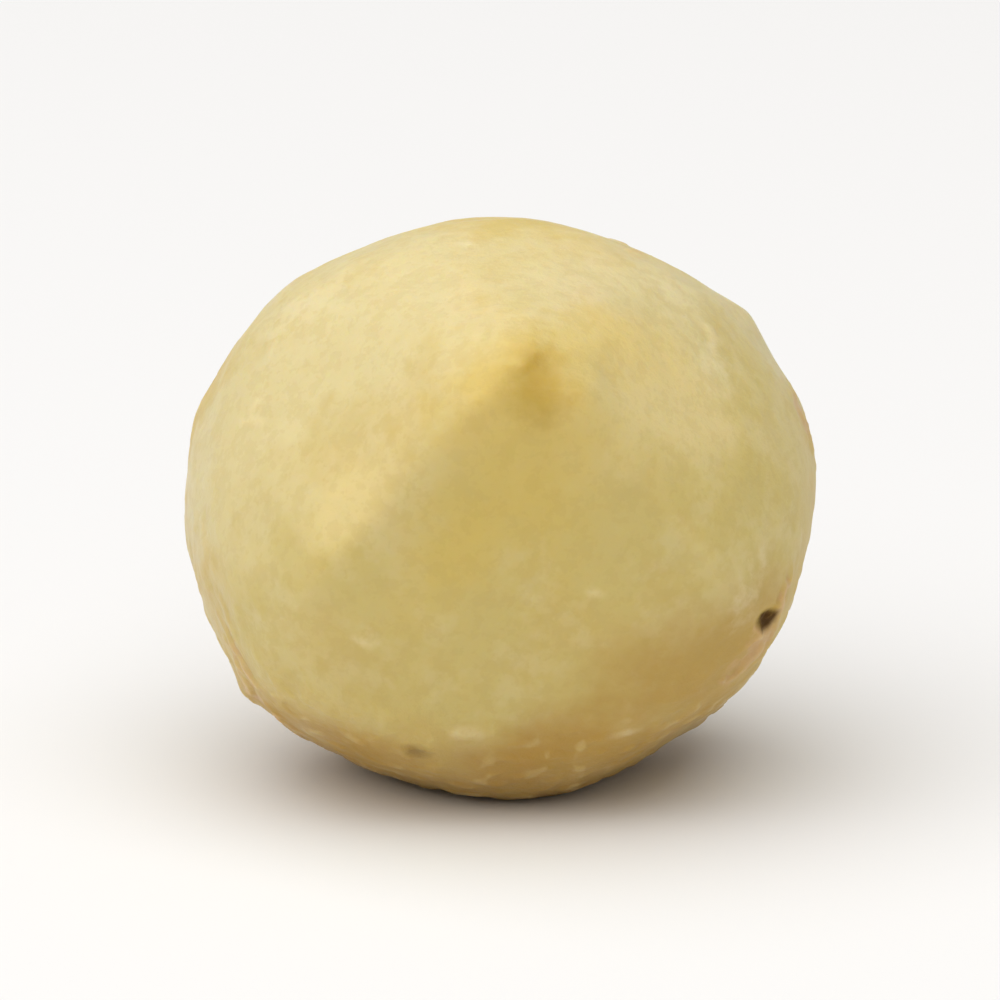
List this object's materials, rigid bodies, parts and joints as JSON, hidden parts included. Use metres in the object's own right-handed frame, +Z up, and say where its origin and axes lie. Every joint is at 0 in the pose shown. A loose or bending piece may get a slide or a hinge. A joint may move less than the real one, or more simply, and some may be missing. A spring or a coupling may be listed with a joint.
{
  "type": "shelled macadamia kernel",
  "caption": "Whole shelled macadamia kernel: a plump round nut with one short blunt point, slightly flattened where the shell pressed it, lying on a small flat spot.",
  "frame": {"origin": "bottom centre of the bounding box, on the plane of the small flat spot that the kernel rests on", "axes": "+Z up, -Z out of the flat resting spot; the pointed end faces -Y and rises above the horizon; +X is the kernel's widest direction, to the right when looking at the pointed end"},
  "size_m": [0.018, 0.0172, 0.0163],
  "materials": {
    "kernel": "satin"
  },
  "bodies": {
    "root": {"kernel": "kernel"}
  },
  "joints": []
}
